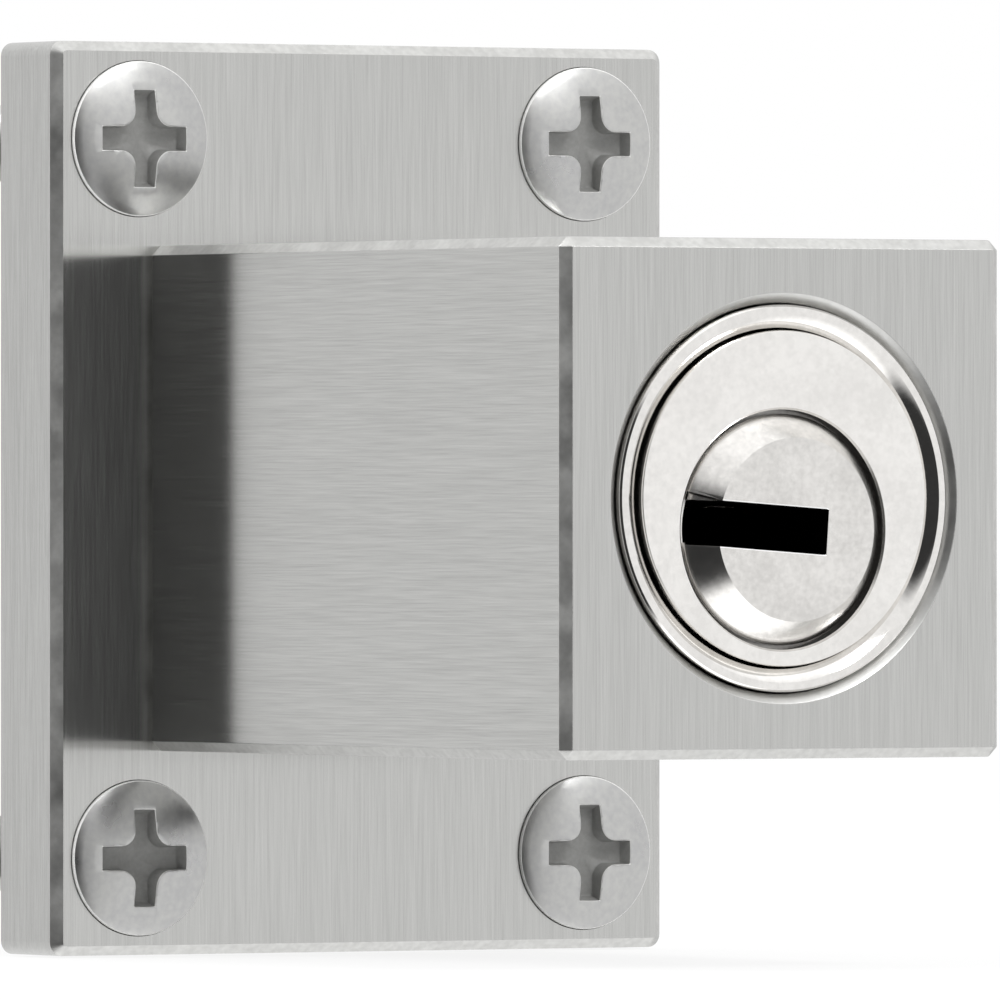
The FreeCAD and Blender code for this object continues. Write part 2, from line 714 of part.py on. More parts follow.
def bolt_carrier():
    body = part_body("bolt_carrier", turned=True)
    made = face_sketch(body, "carrier_circle", "carrier_back")
    ring(made, "0", "0", "disc")
    pad(body, "carrier_pad", made, "carrier")
    made = face_sketch(body, "carrier_through_circles", "carrier_back")
    ring(made, "0", "0", "bolt_spigot")
    for side in (-1, 1):
        ring(made, f"{side} * return_pitch_x / 2", "return_rise", "return_hole")
    cut(body, "carrier_through", made, "carrier", reverse=True)
    for side in (-1, 1):
        turned_profile(body, f"carrier_sink_{side + 1}", [
            ("0", "carrier_back"), ("carrier_head + head_play", "carrier_back"),
            ("carrier_thread + head_play",
             "carrier_back + carrier_head - carrier_thread"),
            ("carrier_thread + head_play", "body_back"), ("0", "body_back")],
            f"{side} * carrier_pitch_x / 2", "-carrier_drop", removing=True)
    return body


def carrier_screws():
    single = part_body("carrier_screw")
    x, z = "carrier_pitch_x / 2", "-carrier_drop"
    turned_profile(single, "carrier_screw_turning", [
        ("0", "carrier_back"), ("carrier_head", "carrier_back"),
        ("carrier_thread", "carrier_back + carrier_head - carrier_thread"),
        ("carrier_thread", "body_back + carrier_grip - carrier_thread / 2"),
        ("carrier_thread / 2", "body_back + carrier_grip"), ("0", "body_back + carrier_grip")],
        x, z)
    made = face_sketch(single, "carrier_screw_slot", "carrier_back", x, z)
    box(made, "-carrier_head - 1", "carrier_head + 1", "-carrier_thread / 4",
        "carrier_thread / 4")
    cut(single, "carrier_screw_slot_cut", made, "carrier_thread / 2", reverse=True)
    return mirrored_group("carrier_screws", single,
                          (("side", FreeCAD.Vector(1, 0, 0)),), turned=True)


def locking_pin():
    body = part_body("locking_pin")
    turned_profile(body, "locking_pin_turning", [
        ("0", "body_back"), ("bolt_spigot", "body_back"), ("bolt_spigot", "carrier_back"),
        ("bolt", "carrier_back"), ("bolt", "bolt_tip + bolt_lead"),
        ("bolt - bolt_lead", "bolt_tip"), ("0", "bolt_tip")])
    return body


def key_pin(i):
    body = part_body(f"key_pin_{i + 1}", turned=True)
    # the shoulder stands above the plug's ledge by this pin's cut, so the top meets the shear line
    shoulder = f"ledge + shear_play + cut_{i + 1}"
    tip = f"({shoulder} - pin_ledge + keyway_height / 2 - pin_reach)"
    upright_profile(body, f"key_pin_{i + 1}_turning", [
        ("0", "key_pin_top"), ("pin_radius", "key_pin_top"), ("pin_radius", shoulder),
        ("pin_tip", shoulder), ("pin_tip", f"{tip} + pin_tip / 2"),
        ("pin_tip / 2", tip), ("0", tip)], pin_out(i))
    return body


def driver_pin(i):
    body = part_body(f"driver_pin_{i + 1}", turned=True)
    upright_profile(body, f"driver_pin_{i + 1}_turning", [
        ("0", "driver_base"), ("pin_radius - pin_play", "driver_base"),
        ("pin_radius", "driver_base + pin_play"), ("pin_radius", "driver_top"),
        ("0", "driver_top")], pin_out(i))
    return body


def coil(body, name, made, along, length, turns):
    """Wind the sketch's circle of wire about one of the sketch's own axes."""
    built = feature(body, "AdditiveHelix", name, made, Height=length, Turns=turns)
    built.Mode = "height-turns-angle"
    built.ReferenceAxis = (made, [along])
    doc.recompute()


def pin_spring(i):
    body = part_body(f"pin_spring_{i + 1}", turned=True)
    made = face_sketch(body, f"pin_spring_{i + 1}_wire", pin_out(i))
    start = "pin_spring_wire + spring_seat_gap"
    ring(made, "pin_spring_coil", f"driver_top + {start}", "pin_spring_wire")
    coil(body, f"pin_spring_{i + 1}_coil", made, "V_Axis",
         f"cap_floor - driver_top - 2 * ({start})", "small_turns")
    return body


def return_spring(name, side):
    """One of the two springs that push the cylinder out, between it and the sleeve's floor."""
    body = part_body(name, turned=True)
    made = sketch(body, name + "_wire", "XY_Plane", x=f"{side} * return_pitch_x / 2",
                  z="return_rise")
    start = "return_wire + spring_seat_gap"
    ring(made, "return_coil", f"{start} - body_back - return_depth", "return_wire")
    coil(body, name + "_coil", made, "V_Axis",
         f"body_back + return_depth - floor_face - 2 * ({start})", "return_turns")
    return body


def catch_spring():
    body = part_body("catch_spring", turned=True)
    made = sketch(body, "catch_spring_wire", "XY_Plane",
                  y="-(catch_front + catch_back) / 2", z="-catch_spring_drop")
    start = "catch_spring_wire + spring_seat_gap"
    ring(made, f"heel_back + {start}", "catch_spring_coil", "catch_spring_wire")
    coil(body, "catch_spring_coil", made, "H_Axis",
         f"catch_spring_seat - heel_back - 2 * ({start})", "small_turns")
    return body


pieces = [base_plate(), lock_block(), mounting_screws(), block_screws(),
          rod_bush("rod_bush_top", 1), rod_bush("rod_bush_bottom", -1), guide_screw(),
          lock_sleeve(), cylinder_body(), chamber_cap(), lock_plug(), release_cam(),
          retaining_clip(), catch(), catch_spring(), bolt_carrier(), carrier_screws(),
          locking_pin(), return_spring("return_spring_left", -1),
          return_spring("return_spring_right", 1)]
for pin in range(len(key_cuts)):
    pieces += [key_pin(pin), driver_pin(pin), pin_spring(pin)]
doc.recompute()

failed = [f"{thing.Label}: {thing.State}" for thing in doc.Objects
          if "Invalid" in thing.State or "Error" in thing.State]
failed += [f"{piece.Label}: no valid shape" for piece in pieces
           if piece.Shape.isNull() or not piece.Shape.isValid() or not piece.Shape.Solids]
if failed:
    raise RuntimeError("; ".join(failed))
for piece in pieces:
    piece.Shape.exportStep(f"parts/{piece.Label}.step")
    extent = piece.Shape.BoundBox
    print(f"{piece.Label}: {len(piece.Shape.Solids)} solid(s), {piece.Shape.Volume:.2f} mm3, "
          f"x {extent.XMin:.2f}..{extent.XMax:.2f}, y {extent.YMin:.2f}..{extent.YMax:.2f}, "
          f"z {extent.ZMin:.2f}..{extent.ZMax:.2f}")
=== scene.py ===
import math

import bmesh
import bpy
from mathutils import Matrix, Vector


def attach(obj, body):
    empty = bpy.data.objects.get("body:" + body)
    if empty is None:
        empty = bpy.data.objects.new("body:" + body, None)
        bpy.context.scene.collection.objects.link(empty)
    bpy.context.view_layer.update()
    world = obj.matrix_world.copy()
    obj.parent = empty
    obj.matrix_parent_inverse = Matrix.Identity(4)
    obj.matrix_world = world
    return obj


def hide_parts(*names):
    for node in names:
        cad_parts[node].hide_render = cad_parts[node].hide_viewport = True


# Espagnolette lock, in metres. X is to the right, Z up, and the front looks along -Y.
# The plate's back lies at y = 0. Sizes in the dictionaries are millimetres.
mm = 0.001

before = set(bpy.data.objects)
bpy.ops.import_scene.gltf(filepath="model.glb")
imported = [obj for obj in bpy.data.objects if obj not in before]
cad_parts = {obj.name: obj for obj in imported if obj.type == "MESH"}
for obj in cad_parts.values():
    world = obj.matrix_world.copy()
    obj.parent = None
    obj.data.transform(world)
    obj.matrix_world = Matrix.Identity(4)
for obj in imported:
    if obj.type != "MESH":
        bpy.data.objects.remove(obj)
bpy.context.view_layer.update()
print("frame loaded with", len(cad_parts), "nodes")


# Working in object and edit mode

def activate(piece):
    bpy.ops.object.select_all(action="DESELECT")
    piece.select_set(True)
    bpy.context.view_layer.objects.active = piece


def startEditing(piece):
    activate(piece)
    bpy.ops.object.mode_set(mode="EDIT")
    bpy.ops.mesh.select_all(action="SELECT")


def stopEditing():
    bpy.ops.object.mode_set(mode="OBJECT")
    return bpy.context.object


# In edit mode: selects the points, edges or faces that the test accepts
def pick(kind, wanted):
    bpy.ops.mesh.select_mode(type=kind)
    bpy.ops.mesh.select_all(action="DESELECT")
    mesh = bpy.context.object.data
    shape = bmesh.from_edit_mesh(mesh)
    members = {"VERT": shape.verts, "EDGE": shape.edges, "FACE": shape.faces}[kind]
    for member in members:
        if wanted(member):
            member.select_set(True)
    shape.select_flush_mode()
    bmesh.update_edit_mesh(mesh)


def middle(edge):
    return (edge.verts[0].co + edge.verts[1].co) / 2 / mm


def run(edge):
    return (edge.verts[1].co - edge.verts[0].co) / mm


def cleanUp():
    bpy.ops.mesh.select_all(action="SELECT")
    bpy.ops.mesh.remove_doubles(threshold=0.002 * mm)
    bpy.ops.mesh.normals_make_consistent(inside=False)


# A block from its lowest and highest corner, left in edit mode
def startBlock(name, low, high):
    centre = [(a + b) / 2 * mm for a, b in zip(low, high)]
    size = [(b - a) * mm for a, b in zip(low, high)]
    bpy.ops.mesh.primitive_cube_add(size=1)
    bpy.context.object.name = name
    bpy.ops.object.mode_set(mode="EDIT")
    bpy.ops.transform.resize(value=size)
    bpy.ops.transform.translate(value=centre)


def plainBlock(low, high):
    startBlock("cutter", low, high)
    return stopEditing()


# A single selected point at the origin, left in edit mode, to draw an outline from
def startPoint(name):
    bpy.ops.mesh.primitive_plane_add(size=mm)
    bpy.context.object.name = name
    bpy.ops.object.mode_set(mode="EDIT")
    bpy.ops.mesh.select_mode(type="VERT")
    bpy.ops.mesh.select_all(action="SELECT")
    bpy.ops.mesh.merge(type="CENTER")


# Turns an outline of (radius, along) points about an axis along Y through (x, z) or along Z
# through (x, y)
def spun(name, outline, centre=(0, 0), axis="Y", steps=96):
    def place(radius, along):
        if axis == "Y":
            return Vector((centre[0] + radius, along, centre[1])) * mm
        return Vector((centre[0] + radius, centre[1], along)) * mm

    startPoint(name)
    spots = [place(*point) for point in outline]
    bpy.ops.transform.translate(value=spots[0])
    for here, there in zip(spots, spots[1:]):
        bpy.ops.mesh.extrude_region_move(TRANSFORM_OT_translate={"value": there - here})
    bpy.ops.mesh.select_all(action="SELECT")
    bpy.ops.mesh.spin(steps=steps, angle=math.tau, center=place(0, 0),
                      axis=(0, 1, 0) if axis == "Y" else (0, 0, 1))
    cleanUp()
    return stopEditing()


# A rod or bore with square ends
def plainRod(radius, start, end, centre=(0, 0), axis="Y", steps=48):
    outline = [(0, start), (radius, start), (radius, end), (0, end)]
    return spun("cutter", outline, centre, axis, steps)


def carve(piece, *cutters, operation="DIFFERENCE"):
    for cutter in cutters:
        activate(piece)
        step = piece.modifiers.new("carve", "BOOLEAN")
        step.operation = operation
        step.solver = "EXACT"
        step.object = cutter
        bpy.ops.object.modifier_apply(modifier=step.name)
        bpy.data.objects.remove(cutter)


def softenEdges(piece, width, segments=2, angle=25, clamp=True):
    activate(piece)
    step = piece.modifiers.new("soften", "BEVEL")
    step.limit_method = "ANGLE"
    step.angle_limit = math.radians(angle)
    step.width = width * mm
    step.segments = segments
    step.use_clamp_overlap = clamp
    step.harden_normals = False
    bpy.ops.object.modifier_apply(modifier=step.name)


# Gives the faces that the test accepts the material with that number
def paintFaces(piece, number, wanted):
    for face in piece.data.polygons:
        if wanted(face.center / mm, face.normal):
            face.material_index = number


def settle(piece, body, slot, materials, *nodes):
    # the cuts leave a few double points and loose edges
    startEditing(piece)
    bpy.ops.mesh.remove_doubles(threshold=0.0001 * mm)
    bpy.ops.mesh.delete_loose()
    stopEditing()
    bpy.ops.object.shade_smooth_by_angle(angle=math.radians(28))
    # flat faces keep their own normal beside a softened edge
    step = piece.modifiers.new("flatten", "WEIGHTED_NORMAL")
    step.keep_sharp = True
    bpy.ops.object.modifier_apply(modifier=step.name)
    # paint already given by number stays
    numbers = [face.material_index for face in piece.data.polygons]
    piece.data.materials.clear()
    for material in materials:
        piece.data.materials.append(material)
    for face, number in zip(piece.data.polygons, numbers):
        face.material_index = min(number, len(materials) - 1)
    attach(piece, body)
    if nodes:
        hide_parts(*nodes)
    print(piece.name, "has", len(piece.data.polygons), "faces")
    return piece


# Turns a piece clockwise, seen from the front, about (x, z)
def turnPiece(piece, degrees, centre=(0, 0)):
    startEditing(piece)
    # without a window the operator turns the other way
    bpy.ops.transform.rotate(value=-math.radians(degrees), orient_axis="Y",
                             center_override=(centre[0] * mm, 0, centre[1] * mm))
    stopEditing()


# Materials

def linearColor(text):
    parts = [int(text[i:i + 2], 16) / 255 for i in (0, 2, 4)]
    return [c / 12.92 if c <= 0.04045 else ((c + 0.055) / 1.055) ** 2.4 for c in parts] + [1]


def addNode(tree, kind, inputs, **settings):
    node = tree.nodes.new("ShaderNode" + kind)
    for name, value in settings.items():
        setattr(node, name, value)
    for name, value in inputs.items():
        if isinstance(value, bpy.types.NodeSocket):
            tree.links.new(value, node.inputs[name])
        else:
            node.inputs[name].default_value = value
    return node


def newMaterial(name, **shaderInputs):
    material = bpy.data.materials.new(name)
    material.use_nodes = True
    tree = material.node_tree
    shader = tree.nodes["Principled BSDF"]
    for socket, value in shaderInputs.items():
        shader.inputs[socket.replace("_", " ")].default_value = value
    return material, tree, shader


# Streaks along one axis: width and length are the grain's, in mm
def grain(tree, along, width, length, seed=0.0):
    place = addNode(tree, "TexCoord", {})
    across, lengthwise = 1 / (width * mm), 1 / (length * mm)
    scale = [lengthwise if i == along else across for i in range(3)]
    moved = addNode(tree, "Mapping", {"Vector": place.outputs["Object"], "Scale": scale,
                                      "Location": (seed, seed, seed)})
    return addNode(tree, "TexNoise", {"Vector": moved.outputs["Vector"], "Scale": 1.0,
                                      "Detail": 2.0, "Roughness": 0.55})


# Stainless steel, belt-ground to a satin grain: a pale grey whose gloss is drawn out across the
# grain, with fine streaks along it. The grain is really about 0.02 mm wide and drawn at 0.07.
def satinSteel(name, along, spread):
    steel = {"light": "d4d4d2", "dark": "bfbfbd", "width": 0.075, "length": 4.0,
             "cloudWidth": 0.5, "cloudLength": 14.0, "depth": 0.0012}
    material, tree, shader = newMaterial(name, Metallic=1.0, Anisotropic=1.0)
    fine = grain(tree, along, steel["width"], steel["length"])
    cloud = grain(tree, along, steel["cloudWidth"], steel["cloudLength"], seed=3.0)
    mixed = addNode(tree, "Math", {0: cloud.outputs["Fac"], 1: 0.35, 2: fine.outputs["Fac"]},
                    operation="MULTIPLY_ADD")
    shade = addNode(tree, "MapRange", {"Value": mixed.outputs["Value"], "From Min": 0.4,
                                       "From Max": 0.95})
    color = addNode(tree, "MixRGB", {"Fac": shade.outputs["Result"],
                                     "Color1": linearColor(steel["dark"]),
                                     "Color2": linearColor(steel["light"])})
    rough = addNode(tree, "MapRange", {"Value": fine.outputs["Fac"], "To Min": 0.2,
                                       "To Max": 0.28})
    bump = addNode(tree, "Bump", {"Height": fine.outputs["Fac"], "Strength": 0.35,
                                  "Distance": steel["depth"] * mm})
    blur = addNode(tree, "CombineXYZ", {"X": spread[0], "Y": spread[1], "Z": spread[2]})
    tree.links.new(color.outputs["Color"], shader.inputs["Base Color"])
    tree.links.new(rough.outputs["Result"], shader.inputs["Roughness"])
    tree.links.new(bump.outputs["Normal"], shader.inputs["Normal"])
    tree.links.new(blur.outputs["Vector"], shader.inputs["Tangent"])
    return material


# A smooth metal with soft clouds in its gloss and a few fine pits; depth and grit are in mm
def smoothMetal(name, light, dark, roughness, depth=0.001, pits=0.0, grit=0.35):
    skin = {"cloud": 2.5, "pitSpacing": 0.9, "pitWidth": 0.09}
    material, tree, shader = newMaterial(name, Metallic=1.0)
    place = addNode(tree, "TexCoord", {})
    cloud = addNode(tree, "TexNoise", {"Vector": place.outputs["Object"],
                                       "Scale": 1 / (skin["cloud"] * mm), "Detail": 3.0})
    fine = addNode(tree, "TexNoise", {"Vector": place.outputs["Object"],
                                      "Scale": 1 / (grit * mm), "Detail": 2.0})
    mixed = addNode(tree, "Math", {0: cloud.outputs["Fac"], 1: fine.outputs["Fac"]},
                    operation="ADD")
    shade = addNode(tree, "MapRange", {"Value": mixed.outputs["Value"], "From Min": 0.75,
                                       "From Max": 1.25})
    color = addNode(tree, "MixRGB", {"Fac": shade.outputs["Result"], "Color1": linearColor(dark),
                                     "Color2": linearColor(light)})
    rough = addNode(tree, "MapRange", {"Value": cloud.outputs["Fac"], "From Min": 0.3,
                                       "From Max": 0.7, "To Min": roughness * 0.85,
                                       "To Max": roughness * 1.2})
    height = fine.outputs["Fac"]
    if pits:
        dots = addNode(tree, "TexVoronoi", {"Vector": place.outputs["Object"],
                                            "Scale": 1 / (skin["pitSpacing"] * mm)})
        pit = addNode(tree, "MapRange", {"Value": dots.outputs["Distance"], "From Min": 0.0,
                                         "From Max": skin["pitWidth"], "To Min": -pits,
                                         "To Max": 0.0})
        height = addNode(tree, "Math", {0: height, 1: pit.outputs["Result"]},
                         operation="ADD").outputs["Value"]
    bump = addNode(tree, "Bump", {"Height": height, "Strength": 0.3, "Distance": depth * mm})
    tree.links.new(color.outputs["Color"], shader.inputs["Base Color"])
    tree.links.new(rough.outputs["Result"], shader.inputs["Roughness"])
    tree.links.new(bump.outputs["Normal"], shader.inputs["Normal"])
    return material


# Moulded acetal: a dark, waxy plastic with a fine even texture
def mouldedAcetal():
    skin = {"grit": 0.12, "depth": 0.004}
    material, tree, shader = newMaterial("mouldedAcetal", IOR=1.48)
    place = addNode(tree, "TexCoord", {})
    fine = addNode(tree, "TexNoise", {"Vector": place.outputs["Object"],
                                      "Scale": 1 / (skin["grit"] * mm)})
    color = addNode(tree, "MixRGB", {"Fac": fine.outputs["Fac"], "Color1": linearColor("1d1d1f"),
                                     "Color2": linearColor("2b2b2d")})
    rough = addNode(tree, "MapRange", {"Value": fine.outputs["Fac"], "To Min": 0.38,
                                       "To Max": 0.5})
    bump = addNode(tree, "Bump", {"Height": fine.outputs["Fac"], "Strength": 0.25,
                                  "Distance": skin["depth"] * mm})
    tree.links.new(color.outputs["Color"], shader.inputs["Base Color"])
    tree.links.new(rough.outputs["Result"], shader.inputs["Roughness"])
    tree.links.new(bump.outputs["Normal"], shader.inputs["Normal"])
    return material


# Steel whose skin is forged, or painted pale as a highlight: it scatters light evenly instead of
# mirroring it
def scatteringSteel(name, light, dark, roughness):
    skin = {"grit": 0.25, "depth": 0.006}
    material, tree, shader = newMaterial(name, Metallic=0.1, Roughness=roughness)
    place = addNode(tree, "TexCoord", {})
    fine = addNode(tree, "TexNoise", {"Vector": place.outputs["Object"],
                                      "Scale": 1 / (skin["grit"] * mm), "Detail": 3.0})
    color = addNode(tree, "MixRGB", {"Fac": fine.outputs["Fac"], "Color1": linearColor(dark),
                                     "Color2": linearColor(light)})
    bump = addNode(tree, "Bump", {"Height": fine.outputs["Fac"], "Strength": 0.3,
                                  "Distance": skin["depth"] * mm})
    tree.links.new(color.outputs["Color"], shader.inputs["Base Color"])
    tree.links.new(bump.outputs["Normal"], shader.inputs["Normal"])
    return material


# Nickel in the turned groove round the plug: bright at the left and painted darker towards
# the right as shade, with a fine speckle
def grooveShadedNickel():
    groove = {"brightTo": -5.5, "shadeFrom": 1.0, "grit": 0.25, "depth": 0.01}
    material, tree, shader = newMaterial("grooveShadedNickel", Metallic=1.0, Roughness=0.4)
    place = addNode(tree, "TexCoord", {})
    sides = addNode(tree, "SeparateXYZ", {"Vector": place.outputs["Object"]})
    across = addNode(tree, "MapRange", {"Value": sides.outputs["X"],
                                        "From Min": groove["brightTo"] * mm,
                                        "From Max": groove["shadeFrom"] * mm})
    speck = addNode(tree, "TexNoise", {"Vector": place.outputs["Object"],
                                       "Scale": 1 / (groove["grit"] * mm), "Detail": 2.0})
    # painted shade: the dull, speckled colour towards the right
    dull = addNode(tree, "MixRGB", {"Fac": speck.outputs["Fac"], "Color1": linearColor("6f6d6b"),
                                    "Color2": linearColor("b4b2af")})
    color = addNode(tree, "MixRGB", {"Fac": across.outputs["Result"],
                                     "Color1": linearColor("efedea"),
                                     "Color2": dull.outputs["Color"]})
    bump = addNode(tree, "Bump", {"Height": speck.outputs["Fac"], "Strength": 0.3,
                                  "Distance": groove["depth"] * mm})
    tree.links.new(color.outputs["Color"], shader.inputs["Base Color"])
    tree.links.new(bump.outputs["Normal"], shader.inputs["Normal"])
    return material


# For the plate and the block's ends, for the block's sides, and for its top and bottom, where
# the lengthwise grain draws the gloss out sideways
upright = satinSteel("satinSteelUpright", 2, (1, 0, 0))
lengthwise = satinSteel("satinSteelLengthwise", 1, (0, 0, 1))
crosswise = satinSteel("satinSteelLengthwiseTop", 1, (1, 0, 0))
# Turned stainless steel in the bore and on the small screws: an even, soft grey
turnedSteel = smoothMetal("turnedStainless", "cfcfcd", "c6c6c4", 0.4, depth=0.002)
# Cold-headed stainless steel on the screw heads: smoother and cloudier than the ground plate
rolledSteel = smoothMetal("rolledStainless", "c7c7c5", "bababa", 0.31, depth=0.0015)
# Edges ground across with a coarser grit: dull, and painted a little darker than the faces as
# shade
groundEdgeShaded = smoothMetal("groundStainlessEdgeShaded", "cacac8", "b9b9b7", 0.5, depth=0.003)
# Bright nickel plate on the sleeve: nearly a mirror, so its bead shows sharp dark and light rings
brightNickel = smoothMetal("brightNickel", "efedea", "e4e2df", 0.09, pits=0.4)
# Satin nickel on the cylinder: very pale, with a soft gloss and rare pits
satinNickel = smoothMetal("satinNickel", "f3f1ee", "e8e6e3", 0.17, depth=0.0015, pits=0.5)
# The same nickel on the plug, worn by use: a little darker and cloudier
plugNickel = smoothMetal("wornNickel", "e9e7e4", "d6d4d1", 0.19, depth=0.002, pits=0.5)
# Slot edges painted as a white highlight line
slotEdgeHighlight = smoothMetal("slotEdgePaintedHighlight", "ffffff", "fbfbfa", 0.2)
grooveShadedFinish = grooveShadedNickel()
# The screws' recess, left as forged: an even dull grey, painted darker than the head as shade.
# Its edges are painted as a pale highlight line
forgedShadedSteel = scatteringSteel("forgedStainlessShaded", "969694", "7e7e7c", 0.5)
screwEdgeHighlight = scatteringSteel("stainlessEdgePaintedHighlight", "f4f4f2", "dededc", 0.35)
# The keyway's walls, painted nearly black and dull as shade
keywayShade = smoothMetal("keywayPaintedShade", "2c2a28", "171615", 0.45)
# Turned brass: warm yellow with a soft gloss
turnedBrass = smoothMetal("turnedBrass", "c9a25c", "b98f49", 0.25, depth=0.002)
# Hardened and ground steel: a cooler grey with a tighter gloss
hardSteel = smoothMetal("groundSteel", "b4b5b8", "9fa0a3", 0.22, depth=0.0015)
# Drawn spring wire: dark grey
springWire = smoothMetal("springWire", "8f9093", "7d7e81", 0.3, grit=0.1)
acetal = mouldedAcetal()
print("materials made")


# Base plate

basePlate = {"width": 37.0, "height": 47.0, "thickness": 5.5, "corner": 0.7, "bevel": 0.5,
             "brokenEdge": 0.05, "pitchX": 27.0, "pitchZ": 37.0, "hole": 2.25, "sink": 4.04,
             "backPitchX": 20.0, "backPitchZ": 17.0, "backHole": 1.75, "backSink": 3.04,
             "backSunk": 0.1}


def corners(pitchX, pitchZ):
    return [(i * pitchX / 2, j * pitchZ / 2) for i in (-1, 1) for j in (-1, 1)]


def makeBasePlate():
    size = basePlate
    front = -size["thickness"]
    halfX, halfZ = size["width"] / 2, size["height"] / 2
    startBlock("basePlate", (-halfX, front, -halfZ), (halfX, 0, halfZ))
    pick("EDGE", lambda e: abs(run(e).y) > 1)
    bpy.ops.mesh.bevel(offset=size["corner"] * mm, segments=6, affect="EDGES")
    pick("EDGE", lambda e: abs(middle(e).y - front) < 0.01)
    bpy.ops.mesh.bevel(offset=size["bevel"] * mm, segments=1, affect="EDGES")
    piece = stopEditing()
    for x, z in corners(size["pitchX"], size["pitchZ"]):
        throat = front + size["sink"] - size["hole"]
        carve(piece, spun("cutter", [(0, 1), (size["hole"], 1), (size["hole"], throat),
                                     (size["sink"], front), (size["sink"], front - 1),
                                     (0, front - 1)], (x, z), steps=96))
    for x, z in corners(size["backPitchX"], size["backPitchZ"]):
        sunk = -size["backSunk"]
        throat = sunk - size["backSink"] + size["backHole"]
        carve(piece, spun("cutter", [(0, 1), (size["backSink"], 1), (size["backSink"], sunk),
                                     (size["backHole"], throat), (size["backHole"], front - 1),
                                     (0, front - 1)], (x, z), steps=64))
    softenEdges(piece, size["brokenEdge"])
    # the bevel round the front is painted a little darker as shade; the faces and the plate's
    # edges keep the upright grain
    inX, inZ = halfX - size["bevel"] - 0.1, halfZ - size["bevel"] - 0.1
    paintFaces(piece, 1, lambda place, normal: -0.95 < normal.y < -0.3
               and (abs(place.x) > inX or abs(place.z) > inZ))
    return settle(piece, "lock_case", "satin_steel", [upright, groundEdgeShaded], "base_plate")


makeBasePlate()


# Lock block

lockBlock = {"side": 26.0, "depth": 40.5, "bevel": 0.5, "brokenEdge": 0.05,
             "bore": 9.76, "boreBevel": 0.5, "pocket": 21.5,
             "rodAt": 15.0, "bushSeat": 7.12, "bushLength": 9.0, "rodPassage": 6.43,
             "boltHole": 2.6, "guideHole": 2.0, "guideAt": 38.56, "guideEnd": 8.4,
             "backThread": 1.5, "backThreadEnd": 14.0}


def makeLockBlock():
    size = lockBlock
    half, back = size["side"] / 2, -basePlate["thickness"]
    front = back - size["depth"]
    startBlock("lockBlock", (-half, front, -half), (half, back, half))
    bpy.ops.mesh.bevel(offset=size["bevel"] * mm, segments=1, affect="EDGES")
    piece = stopEditing()
    bore, lip = size["bore"], size["boreBevel"]
    pocketBack = front + size["pocket"]
    carve(piece, spun("cutter", [(0, front - 1), (bore + lip + 1, front - 1),
                                 (bore + lip, front), (bore, front + lip),
                                 (bore, pocketBack), (0, pocketBack)], steps=160))
    rod = (0, -size["rodAt"])
    for sign in (-1, 1):
        carve(piece, plainRod(size["bushSeat"], sign * (half - size["bushLength"]),
                              sign * (half + 1), rod, "Z", 96))
    softenEdges(piece, size["brokenEdge"])
    carve(piece, plainRod(size["boltHole"], -size["rodAt"], pocketBack - 1))
    carve(piece, plainRod(size["rodPassage"], -half - 1, half + 1, rod, "Z", 96))
    for x, z in corners(basePlate["backPitchX"], basePlate["backPitchZ"]):
        carve(piece, plainRod(size["backThread"], -size["backThreadEnd"], back + 1, (x, z)))
    carve(piece, plainRod(size["guideHole"], -half - 1, -size["guideEnd"],
                          (0, -size["guideAt"]), "Z"))
    paintFaces(piece, 1, lambda place, normal: abs(normal.x) > 0.9)
    paintFaces(piece, 2, lambda place, normal: abs(normal.z) > 0.9)
    # the bore and its floor, then the bevels round the block, painted a little darker as shade
    paintFaces(piece, 3, lambda place, normal: math.hypot(place.x, place.z) < bore + lip
               and front + 0.01 < place.y < pocketBack + 0.01)
    paintFaces(piece, 4, lambda place, normal: max(abs(n) for n in normal) < 0.95
               and max(abs(place.x), abs(place.z)) > half - size["bevel"] - 0.1)
    return settle(piece, "lock_case", "satin_steel",
                  [upright, lengthwise, crosswise, turnedSteel, groundEdgeShaded], "lock_block")


makeLockBlock()


# Mounting screws: raised countersunk head, cross recess, plain shank and a thread to a point

mountingScrew = {"head": 4.0, "dome": 0.9, "rim": 0.2, "rimRound": 0.06, "highlightRim": 0.07,
                 "brokenEdge": 0.05, "neck": 1.6, "core": 1.35, "thread": 2.0,
                 "shank": 4.0, "length": 25.0, "point": 3.5, "pitch": 1.8, "turnSteps": 32,
                 "dieOut": 2.5,
                 "span": 5.3, "wing": 1.3, "recess": 0.95, "pit": 0.25, "taper": 0.86,
                 "fillet": 0.85}


def crossCutter(size, top):
    # four wings round a filleted middle, drawn in at the bottom, which slopes down to a point
    wing, reach, fillet = size["wing"] / 2, size["span"] / 2, size["fillet"]
    clear = 0.1  # how far it stands out of the head
    quarter = [(reach, -wing), (reach, wing)]
    for degrees in range(0, 91, 15):
        a = math.radians(degrees)
        quarter.append((wing + fillet * (1 - math.sin(a)), wing + fillet * (1 - math.cos(a))))
    spots = []
    for turn in range(4):
        a = math.radians(90 * turn)
        spots += [Vector((x * math.cos(a) - z * math.sin(a), top - clear,
                          x * math.sin(a) + z * math.cos(a))) * mm for x, z in quarter]
    startPoint("cutter")
    bpy.ops.transform.translate(value=spots[0])
    for here, there in zip(spots, spots[1:]):
        bpy.ops.mesh.extrude_region_move(TRANSFORM_OT_translate={"value": there - here})
    bpy.ops.mesh.select_all(action="SELECT")
    bpy.ops.mesh.edge_face_add()
    bottom = top + size["recess"]
    bpy.ops.mesh.extrude_region_move(
        TRANSFORM_OT_translate={"value": (0, (size["recess"] + clear) * mm, 0)})
    bpy.ops.transform.resize(value=(size["taper"], 1, size["taper"]),
                             center_override=(0, bottom * mm, 0))
    bpy.ops.mesh.poke()
    pick("VERT", lambda v: math.hypot(v.co.x, v.co.z) < 0.01 * mm)
    bpy.ops.transform.translate(value=(0, size["pit"] * mm, 0))
    cleanUp()
    return stopEditing()


